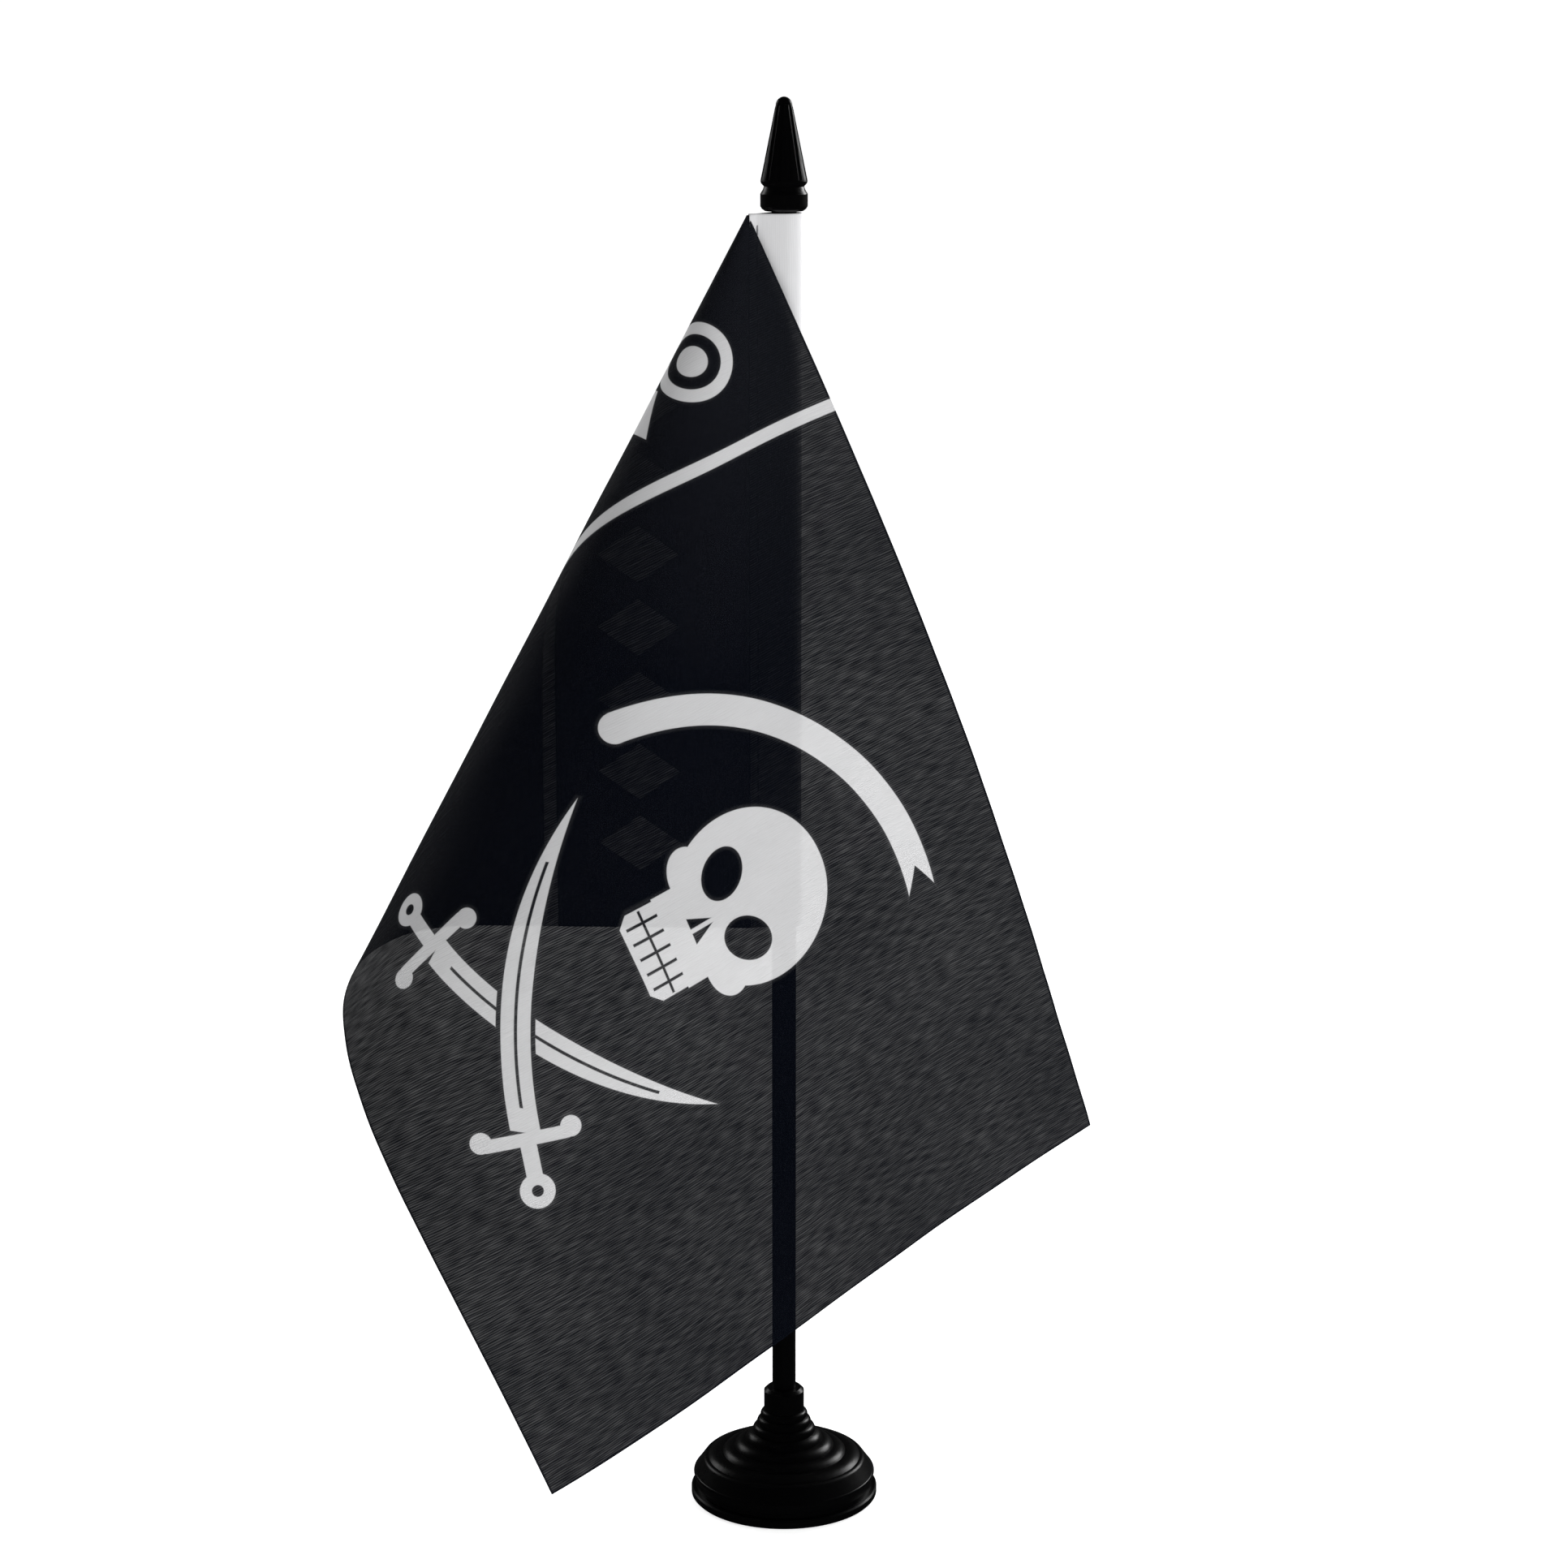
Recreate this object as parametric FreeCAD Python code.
import FreeCAD, Part
import math
import os

from FreeCAD import Rotation, Vector

# Desk flag stand: a weighted round base, a slim pole, a pointed finial and a small folded flag.
# Frame: millimetres, Z up, origin on the pole's axis at the underside of the base.
# The front faces -Y, and +X is to the right as seen from the front.

# Turned profiles are given as (radius, height) pairs.

# Base plate, foot pad and ballast
BASE_RADIUS = 19.1
PAD_RADIUS = 16.2
PAD_THICKNESS = 0.9
PAD_STANDS_PROUD = 0.3
PAD_CLEARANCE = 0.1
PLATE_TOP = 2.1
PLATE_EDGE = 0.3
PLUG_RADIUS = 15.9
PLUG_WALL = 1.0
PLUG_TOP = 5.2
BALLAST_RADIUS = 14.7
BALLAST_THICKNESS = 3.3
BALLAST_CLEARANCE = 0.3

# Shell of the base: a short wall, a cone, a stepped slope of beads, then the neck
SHELL_FOOT_RADIUS = 18.1
SHELL_WAIST = (18.05, 3.0)
SHELL_LIP = ((18.55, 4.8), (18.6, 5.1), (18.35, 5.5))
SHELL_SHOULDER = ((16.6, 7.95), (16.25, 8.25), (15.6, 8.4))
RIDGES = ((14.0, 9.3), (11.6, 10.25), (9.2, 11.65), (7.2, 13.25), (6.3, 14.65), (5.4, 16.35), (4.75, 17.85))
VALLEY_DEPTH = 0.42
NECK_FOOT = 18.45
NECK_RADIUS = 4.1
NECK_TOP = 23.25
NECK_CHAMFER = 0.6

# Inside of the shell: the ceiling, and the boss that holds the pole's socket
CEILING = ((5.9, 11.65), (8.8, 9.45), (12.0, 7.95), (14.85, 7.05))
PLUG_CLEARANCE = 0.05
PLUG_HEADROOM = 0.3
BOSS_WALL = 0.4
BOSS_FOOT = 3.8
BOSS_ROOT = 12.65
SOCKET_FLOOR = 5.0
SOCKET_CLEARANCE = 0.06

# Pole
POLE_RADIUS = 2.4
POLE_TOP = 272.25
POLE_CHAMFER = 0.4
POLE_FOOT_GAP = 0.05

# Finial: its profile is given as (radius, distance below the tip)
FINIAL_TIP = 283.65
FINIAL_FOOT = 262.25
FINIAL_NOSE = ((0.0, 0.0), (0.95, 0.35), (1.6, 1.5))
FINIAL_CONE_FOOT = (4.45, 15.5)
FINIAL_GROOVE = ((4.5, 15.8), (4.4, 16.2), (3.85, 16.8), (4.05, 17.4))
FINIAL_COLLAR = ((4.54, 18.2), (4.54, 20.5), (4.25, 21.0), (3.7, 21.4))
FINIAL_CLEARANCE = 0.03
FLUTE_COUNT = 12
FLUTE_DEPTH = 0.2
FLUTE_CUTTER_RADIUS = 0.8

# Sleeve of white cloth round the pole
HOIST = 140.0
SLEEVE_TOP = 261.85
SLEEVE_INNER = 2.9
SLEEVE_CLOTH = 0.35
SLEEVE_SHIFT_X = 0.25
SEAM_X = -5.2
SEAM_OVERLAP = 0.2
TAIL_GAP = 0.25

# Stitching along the sleeve's seam
STITCH_LENGTH = 2.2
STITCH_PITCH = 3.0
STITCH_RADIUS = 0.13
STITCH_GAP = 0.01
STITCH_END_MARGIN = 2.0

# Flag: one sheet, folded towards the front about a line through its top hoist corner.
# A point of the sheet is at a distance from that corner, in a direction that depends only on
# its angle in the flat sheet: 0 degrees runs down the hoist and 90 degrees along the top edge.
FLY = 199.3
SHEET_THICKNESS = 0.3
CORNER = Vector(-6.9, -3.7, SLEEVE_TOP)
CORNER_CUT = 3.0
HEADING = 2.2
FOLD_ANGLE = 23.4
FOLD_WIDTH_BACK = 2.2
FOLD_WIDTH_FRONT = 24.4
FOLD_TURN = 4.33
FRONT_RELAX = 0.61
BELLY = 8.2
CORNER_LIFT = 4.5
CORNER_LIFT_SPREAD = 12.0
ANGLE_STEP = 0.25
RAIL_POINTS = 40
PATCH_ROWS = 14
PATCH_COLUMNS = 12
SEW_TOLERANCE = 0.001


def ring(outer, inner, bottom, top):
    """A plain tube on the pole's axis, or a disc where inner is 0."""
    solid = Part.makeCylinder(outer, top - bottom, Vector(0, 0, bottom))
    if inner:
        solid = solid.cut(Part.makeCylinder(inner, top - bottom, Vector(0, 0, bottom)))
    return solid


def revolve(edges):
    """A turned solid from a closed profile of edges in the XZ plane."""
    face = Part.Face(Part.Wire(edges))
    return face.revolve(Vector(0, 0, 0), Vector(0, 0, 1), 360)


def line(start, end):
    return Part.LineSegment(start, end).toShape()


def arc(start, middle, end):
    return Part.Arc(start, middle, end).toShape()


def chain(points):
    return [line(a, b) for a, b in zip(points, points[1:])]


def on_section(radius, height):
    """A point of a turned part's profile, in the XZ plane."""
    return Vector(radius, 0, height)


def all_on_section(pairs):
    return [on_section(radius, height) for radius, height in pairs]


def foot_pad():
    return ring(PAD_RADIUS, 0, 0, PAD_THICKNESS)


def base_plate():
    """The bottom disc, with a recess for the pad and a ring that plugs into the shell."""
    disc = ring(BASE_RADIUS, 0, PAD_STANDS_PROUD, PLATE_TOP)
    disc = disc.makeChamfer(PLATE_EDGE, [disc.Edges[0], disc.Edges[2]])
    plug = ring(PLUG_RADIUS, PLUG_RADIUS - PLUG_WALL, PLATE_TOP, PLUG_TOP)
    recess = ring(PAD_RADIUS + PAD_CLEARANCE, 0, PAD_STANDS_PROUD, PAD_THICKNESS)
    return disc.fuse(plug).removeSplitter().cut(recess)


def ballast_disc():
    hole = NECK_RADIUS + BOSS_WALL + BALLAST_CLEARANCE
    return ring(BALLAST_RADIUS, hole, PLATE_TOP, PLATE_TOP + BALLAST_THICKNESS)


def bead_edges(start, end):
    """The stepped slope of the base: one rounded bead through each ridge point, then the neck."""
    valleys = [start]
    for (r0, z0), (r1, z1) in zip(RIDGES, RIDGES[1:]):
        chord = Vector(r1 - r0, 0, z1 - z0)
        inward = Vector(-chord.z, 0, chord.x).normalize() * VALLEY_DEPTH
        valleys.append(on_section((r0 + r1) / 2, (z0 + z1) / 2) + inward)
    valleys.append(end)
    return [arc(a, ridge, b) for a, ridge, b in zip(valleys, all_on_section(RIDGES), valleys[1:])]


def shell_outside(seat):
    """The shell's outline from its seat on the plate up to the rim of the neck."""
    lip = all_on_section(SHELL_LIP)
    shoulder = all_on_section(SHELL_SHOULDER)
    neck_foot = on_section(NECK_RADIUS, NECK_FOOT)
    neck_top = on_section(NECK_RADIUS, NECK_TOP - NECK_CHAMFER)
    rim = on_section(NECK_RADIUS - NECK_CHAMFER, NECK_TOP)
    edges = chain([seat, on_section(*SHELL_WAIST), lip[0]])
    edges += [arc(*lip), line(lip[2], shoulder[0]), arc(*shoulder)]
    edges += bead_edges(shoulder[2], neck_foot)
    return edges + chain([neck_foot, neck_top, rim])


def shell_inside(seat):
    """The shell's outline from the foot of its boss along the ceiling and back to the seat."""
    boss = NECK_RADIUS + BOSS_WALL
    bore = PLUG_RADIUS + PLUG_CLEARANCE
    step = PLUG_TOP + PLUG_HEADROOM
    wall = CEILING[-1][0]
    profile = [(boss, BOSS_FOOT), (boss, BOSS_ROOT), *CEILING, (wall, step), (bore, step), (bore, PLATE_TOP)]
    return chain(all_on_section(profile) + [seat])


def base_shell():
    """The stepped upper shell, hollow below, with a boss round the pole's socket."""
    seat = on_section(SHELL_FOOT_RADIUS, PLATE_TOP)
    core = [
        (NECK_RADIUS - NECK_CHAMFER, NECK_TOP),
        (0, NECK_TOP),
        (0, BOSS_FOOT),
        (NECK_RADIUS + BOSS_WALL, BOSS_FOOT),
    ]
    shell = revolve(shell_outside(seat) + chain(all_on_section(core)) + shell_inside(seat))
    return shell.cut(ring(POLE_RADIUS + SOCKET_CLEARANCE, 0, SOCKET_FLOOR, NECK_TOP))


def pole():
    rod = ring(POLE_RADIUS, 0, SOCKET_FLOOR + POLE_FOOT_GAP, POLE_TOP)
    return rod.makeChamfer(POLE_CHAMFER, [rod.Edges[0], rod.Edges[2]])


def below_tip(pairs):
    return [on_section(radius, FINIAL_TIP - drop) for radius, drop in pairs]


def finial():
    """A fluted cone over a groove and a collar, bored to push onto the pole."""
    nose = below_tip(FINIAL_NOSE)
    cone_foot = below_tip([FINIAL_CONE_FOOT])[0]
    profile = [nose[2], cone_foot, *below_tip(FINIAL_GROOVE), *below_tip(FINIAL_COLLAR)]
    profile += [on_section(0, FINIAL_FOOT), nose[0]]
    body = revolve([arc(*nose)] + chain(profile))
    slope = nose[2] - cone_foot
    outward = Vector(slope.z, 0, -slope.x).normalize()
    start = cone_foot + outward * (FLUTE_CUTTER_RADIUS - FLUTE_DEPTH)
    cutter = Part.makeCylinder(FLUTE_CUTTER_RADIUS, slope.Length, start, slope)
    for index in range(FLUTE_COUNT):
        flute = cutter.copy()
        flute.rotate(Vector(0, 0, 0), Vector(0, 0, 1), 360 * (index + 0.5) / FLUTE_COUNT)
        body = body.cut(flute)
    bore = ring(POLE_RADIUS + FINIAL_CLEARANCE, 0, FINIAL_FOOT, POLE_TOP + POLE_FOOT_GAP)
    return body.cut(bore)


def sleeve_frame():
    """Centre of the sleeve's loop, and the direction in which its tail leaves for the flag."""
    centre = Vector(SLEEVE_SHIFT_X, 0, 0)
    tail = Vector(CORNER.x, CORNER.y, 0) - centre
    length = tail.Length
    along = tail / length
    front = Vector(-along.y, along.x, 0)
    return centre, along, front, length


def teardrop(radius, half_tail, tail_start, tail_end):
    """A round loop that runs by two tangents into a tail, which is flat or, for half_tail 0, a point."""
    centre, along, front, _ = sleeve_frame()
    angle = math.acos(radius / math.hypot(tail_start, half_tail)) + math.atan2(half_tail, tail_start)
    touch = [centre + (along * math.cos(a) + front * math.sin(a)) * radius for a in (angle, -angle)]
    tail = [(tail_start, half_tail), (tail_end, half_tail), (tail_end, -half_tail), (tail_start, -half_tail)]
    if not half_tail:
        tail = [(tail_start, 0)]
    corners = [touch[0]] + [centre + along * far + front * side for far, side in tail] + [touch[1], touch[0]]
    foot = Vector(0, 0, SLEEVE_TOP - HOIST)
    wedge = Part.Face(Part.makePolygon([point + foot for point in corners])).extrude(Vector(0, 0, HOIST))
    return wedge.fuse(Part.makeCylinder(radius, HOIST, centre + foot)).removeSplitter()


def seam_distance():
    """How far the seam lies from the loop's centre, along the tail."""
    centre, along, _, _ = sleeve_frame()
    return (SEAM_X - centre.x) / along.x


def pole_sleeve():
    _, _, _, length = sleeve_frame()
    seam = seam_distance()
    outer = teardrop(SLEEVE_INNER + SLEEVE_CLOTH, SLEEVE_CLOTH, seam - SEAM_OVERLAP, length - TAIL_GAP)
    return outer.cut(teardrop(SLEEVE_INNER, 0, seam - 2 * SEAM_OVERLAP, 0))


def sleeve_thread():
    """Straight stitches through the sleeve's tail, on its front and its back."""
    centre, along, front, _ = sleeve_frame()
    seam = centre + along * seam_distance()
    count = int((HOIST - 2 * STITCH_END_MARGIN) / STITCH_PITCH)
    stitches = []
    for index in range(count):
        foot = SLEEVE_TOP - STITCH_END_MARGIN - STITCH_LENGTH - index * STITCH_PITCH
        for side in (1, -1):
            place = seam + front * side * (SLEEVE_CLOTH + STITCH_RADIUS + STITCH_GAP)
            place.z = foot
            stitches.append(Part.makeCylinder(STITCH_RADIUS, STITCH_LENGTH, place))
    return Part.makeCompound(stitches)


def fold_rate(angle):
    """How fast the sheet's direction turns sideways, per radian of angle in the flat sheet."""
    before = angle < FOLD_ANGLE
    width = math.radians(FOLD_WIDTH_BACK if before else FOLD_WIDTH_FRONT)
    both = math.radians(FOLD_WIDTH_BACK + FOLD_WIDTH_FRONT)
    bend = -FOLD_TURN / both / math.cosh(math.radians(angle - FOLD_ANGLE) / width) ** 2
    return bend if before else bend + FRONT_RELAX


def sheet_directions():
    """Unit directions from the sheet's top hoist corner, one for each step of angle to 90 degrees."""
    heading = math.radians(HEADING)
    along = Vector(0, 0, -1)
    across = Vector(-math.cos(heading), math.sin(heading), 0)
    up = along.cross(across)
    found = [Vector(along)]
    for index in range(round(90 / ANGLE_STEP)):
        rate = fold_rate((index + 0.5) * ANGLE_STEP)
        axis = up + along * rate
        turn = Rotation(axis, ANGLE_STEP * axis.Length)
        along, across, up = [turn.multVec(v) for v in (along, across, up)]
        found.append(Vector(along))
    return found


class Sheet:
    """The folded sheet's middle surface, and the normals of its two faces."""

    def __init__(self):
        self.corner_angle = math.degrees(math.atan2(FLY, HOIST))
        plain = sheet_directions()
        corner = plain[round(self.corner_angle / ANGLE_STEP)]
        self.front = corner.cross(plain[-1]).normalize()
        if self.front.y > 0:
            self.front = self.front * -1
        self.directions = []
        for index, direction in enumerate(plain):
            off = (index * ANGLE_STEP - self.corner_angle) / CORNER_LIFT_SPREAD
            lift = CORNER_LIFT / math.hypot(FLY, HOIST) * math.exp(-off * off)
            self.directions.append((direction + self.front * lift).normalize())

    def direction(self, angle):
        place = angle / ANGLE_STEP
        index = min(int(place), len(self.directions) - 2)
        rest = place - index
        return (self.directions[index] * (1 - rest) + self.directions[index + 1] * rest).normalize()

    def normal(self, angle):
        low = self.direction(max(angle - ANGLE_STEP, 0))
        high = self.direction(min(angle + ANGLE_STEP, 90))
        return low.cross(high).normalize()

    def reach(self, angle):
        """Distance from the corner to the far edge of the flat sheet."""
        radians = math.radians(angle)
        if angle <= self.corner_angle:
            return HOIST / math.cos(radians)
        return FLY / math.sin(radians)

    def point(self, angle, distance, side):
        """A point on one face of the sheet: side is 1 or -1."""
        out = math.sin(math.pi * distance * math.sin(math.radians(angle)) / FLY)
        share = max(angle - self.corner_angle, 0) / (90 - self.corner_angle)
        belly = self.front * (BELLY * out * share * share)
        half = self.normal(angle) * (side * SHEET_THICKNESS / 2)
        return CORNER + self.direction(angle) * distance + belly + half


def spread(start, end, count):
    return [start + (end - start) * index / (count - 1) for index in range(count)]


def rail(sheet, side, at_corner):
    """One curved edge of the ruled part of one face, near the corner or along the bottom edge."""
    angles = spread(0, sheet.corner_angle, RAIL_POINTS)
    reaches = [CORNER_CUT if at_corner else sheet.reach(angle) for angle in angles]
    curve = Part.BSplineCurve()
    points = [sheet.point(angle, reach, side) for angle, reach in zip(angles, reaches)]
    curve.interpolate(Points=points, Parameters=angles)
    return curve


def ruled(first, second):
    """The surface of straight lines between two curves with the same knots."""
    across_degree = 1
    surface = Part.BSplineSurface()
    surface.buildFromPolesMultsKnots(
        [first.getPoles(), second.getPoles()],
        [across_degree + 1, across_degree + 1],
        first.getMultiplicities(),
        [0, 1],
        first.getKnots(),
        False,
        False,
        across_degree,
        first.Degree,
    )
    return surface.toShape()


def front_patch(sheet, side):
    """The bellied part of one face, from the far bottom corner to the top edge."""
    rows = []
    for angle in spread(sheet.corner_angle, 90, PATCH_ROWS):
        reaches = spread(CORNER_CUT, sheet.reach(angle), PATCH_COLUMNS)
        rows.append([sheet.point(angle, distance, side) for distance in reaches])
    surface = Part.BSplineSurface()
    surface.interpolate(rows)
    return surface


def flag_sheet():
    """A closed thin solid between the two faces of the sheet."""
    sheet = Sheet()
    inner = [rail(sheet, side, True) for side in (1, -1)]
    outer = [rail(sheet, side, False) for side in (1, -1)]
    faces = [ruled(inner[0], outer[0]), ruled(inner[1], outer[1]), ruled(*inner), ruled(*outer)]
    ends = ((1, CORNER_CUT), (1, HOIST), (-1, HOIST), (-1, CORNER_CUT))
    hoist = [sheet.point(0, distance, side) for side, distance in ends]
    faces.append(Part.Face(Part.makePolygon(hoist + [hoist[0]])))
    patches = [front_patch(sheet, side) for side in (1, -1)]
    faces += [patch.toShape() for patch in patches]
    edges = [(patch.uIso(1), patch.vIso(0), patch.vIso(1)) for patch in patches]
    for near, far in zip(*edges):
        faces.append(Part.makeRuledSurface(near.toShape(), far.toShape()))
    shell = Part.makeShell(faces)
    shell.sewShape(SEW_TOLERANCE)
    return Part.makeSolid(shell)


PARTS = {
    "foot_pad": foot_pad,
    "base_plate": base_plate,
    "ballast_disc": ballast_disc,
    "base_shell": base_shell,
    "pole": pole,
    "finial": finial,
    "pole_sleeve": pole_sleeve,
    "sleeve_thread": sleeve_thread,
    "flag_sheet": flag_sheet,
}

os.makedirs("parts", exist_ok=True)
for name, make in PARTS.items():
    shape = make()
    box = shape.BoundBox
    print(name, shape.ShapeType, "valid", shape.isValid(), "volume", round(shape.Volume, 2),
          "solids", len(shape.Solids), "x", round(box.XMin, 2), round(box.XMax, 2),
          "y", round(box.YMin, 2), round(box.YMax, 2), "z", round(box.ZMin, 2), round(box.ZMax, 2))
    shape.exportStep("parts/" + name + ".step")
